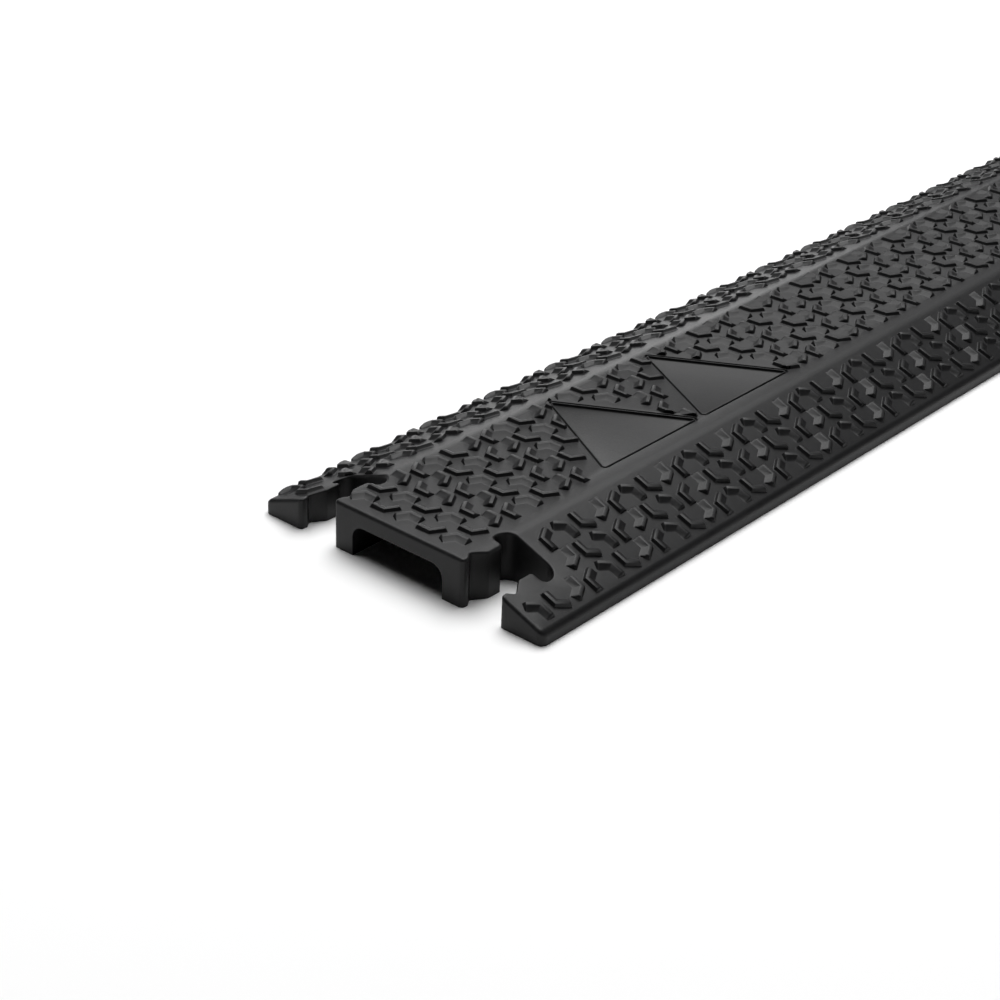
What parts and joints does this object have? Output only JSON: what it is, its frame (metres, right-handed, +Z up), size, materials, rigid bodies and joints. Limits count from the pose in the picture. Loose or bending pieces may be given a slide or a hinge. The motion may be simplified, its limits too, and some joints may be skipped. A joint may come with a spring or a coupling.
{
  "type": "floor cord cover",
  "caption": "Long moulded rubber ramp for a floor, with a flat top, sloping sides, a cable channel open underneath, link slots at one end and link tabs at the other.",
  "frame": {"origin": "middle of the overall width and length, on the floor", "axes": "+Y along the cover, from the end with the slots towards the end with the tabs; +X across it; +Z up"},
  "size_m": [0.13, 1, 0.02],
  "materials": {
    "black_rubber": "satin black moulded rubber, plain between raised tread bars"
  },
  "bodies": {
    "root": {"cord_cover": "black_rubber"}
  },
  "joints": []
}
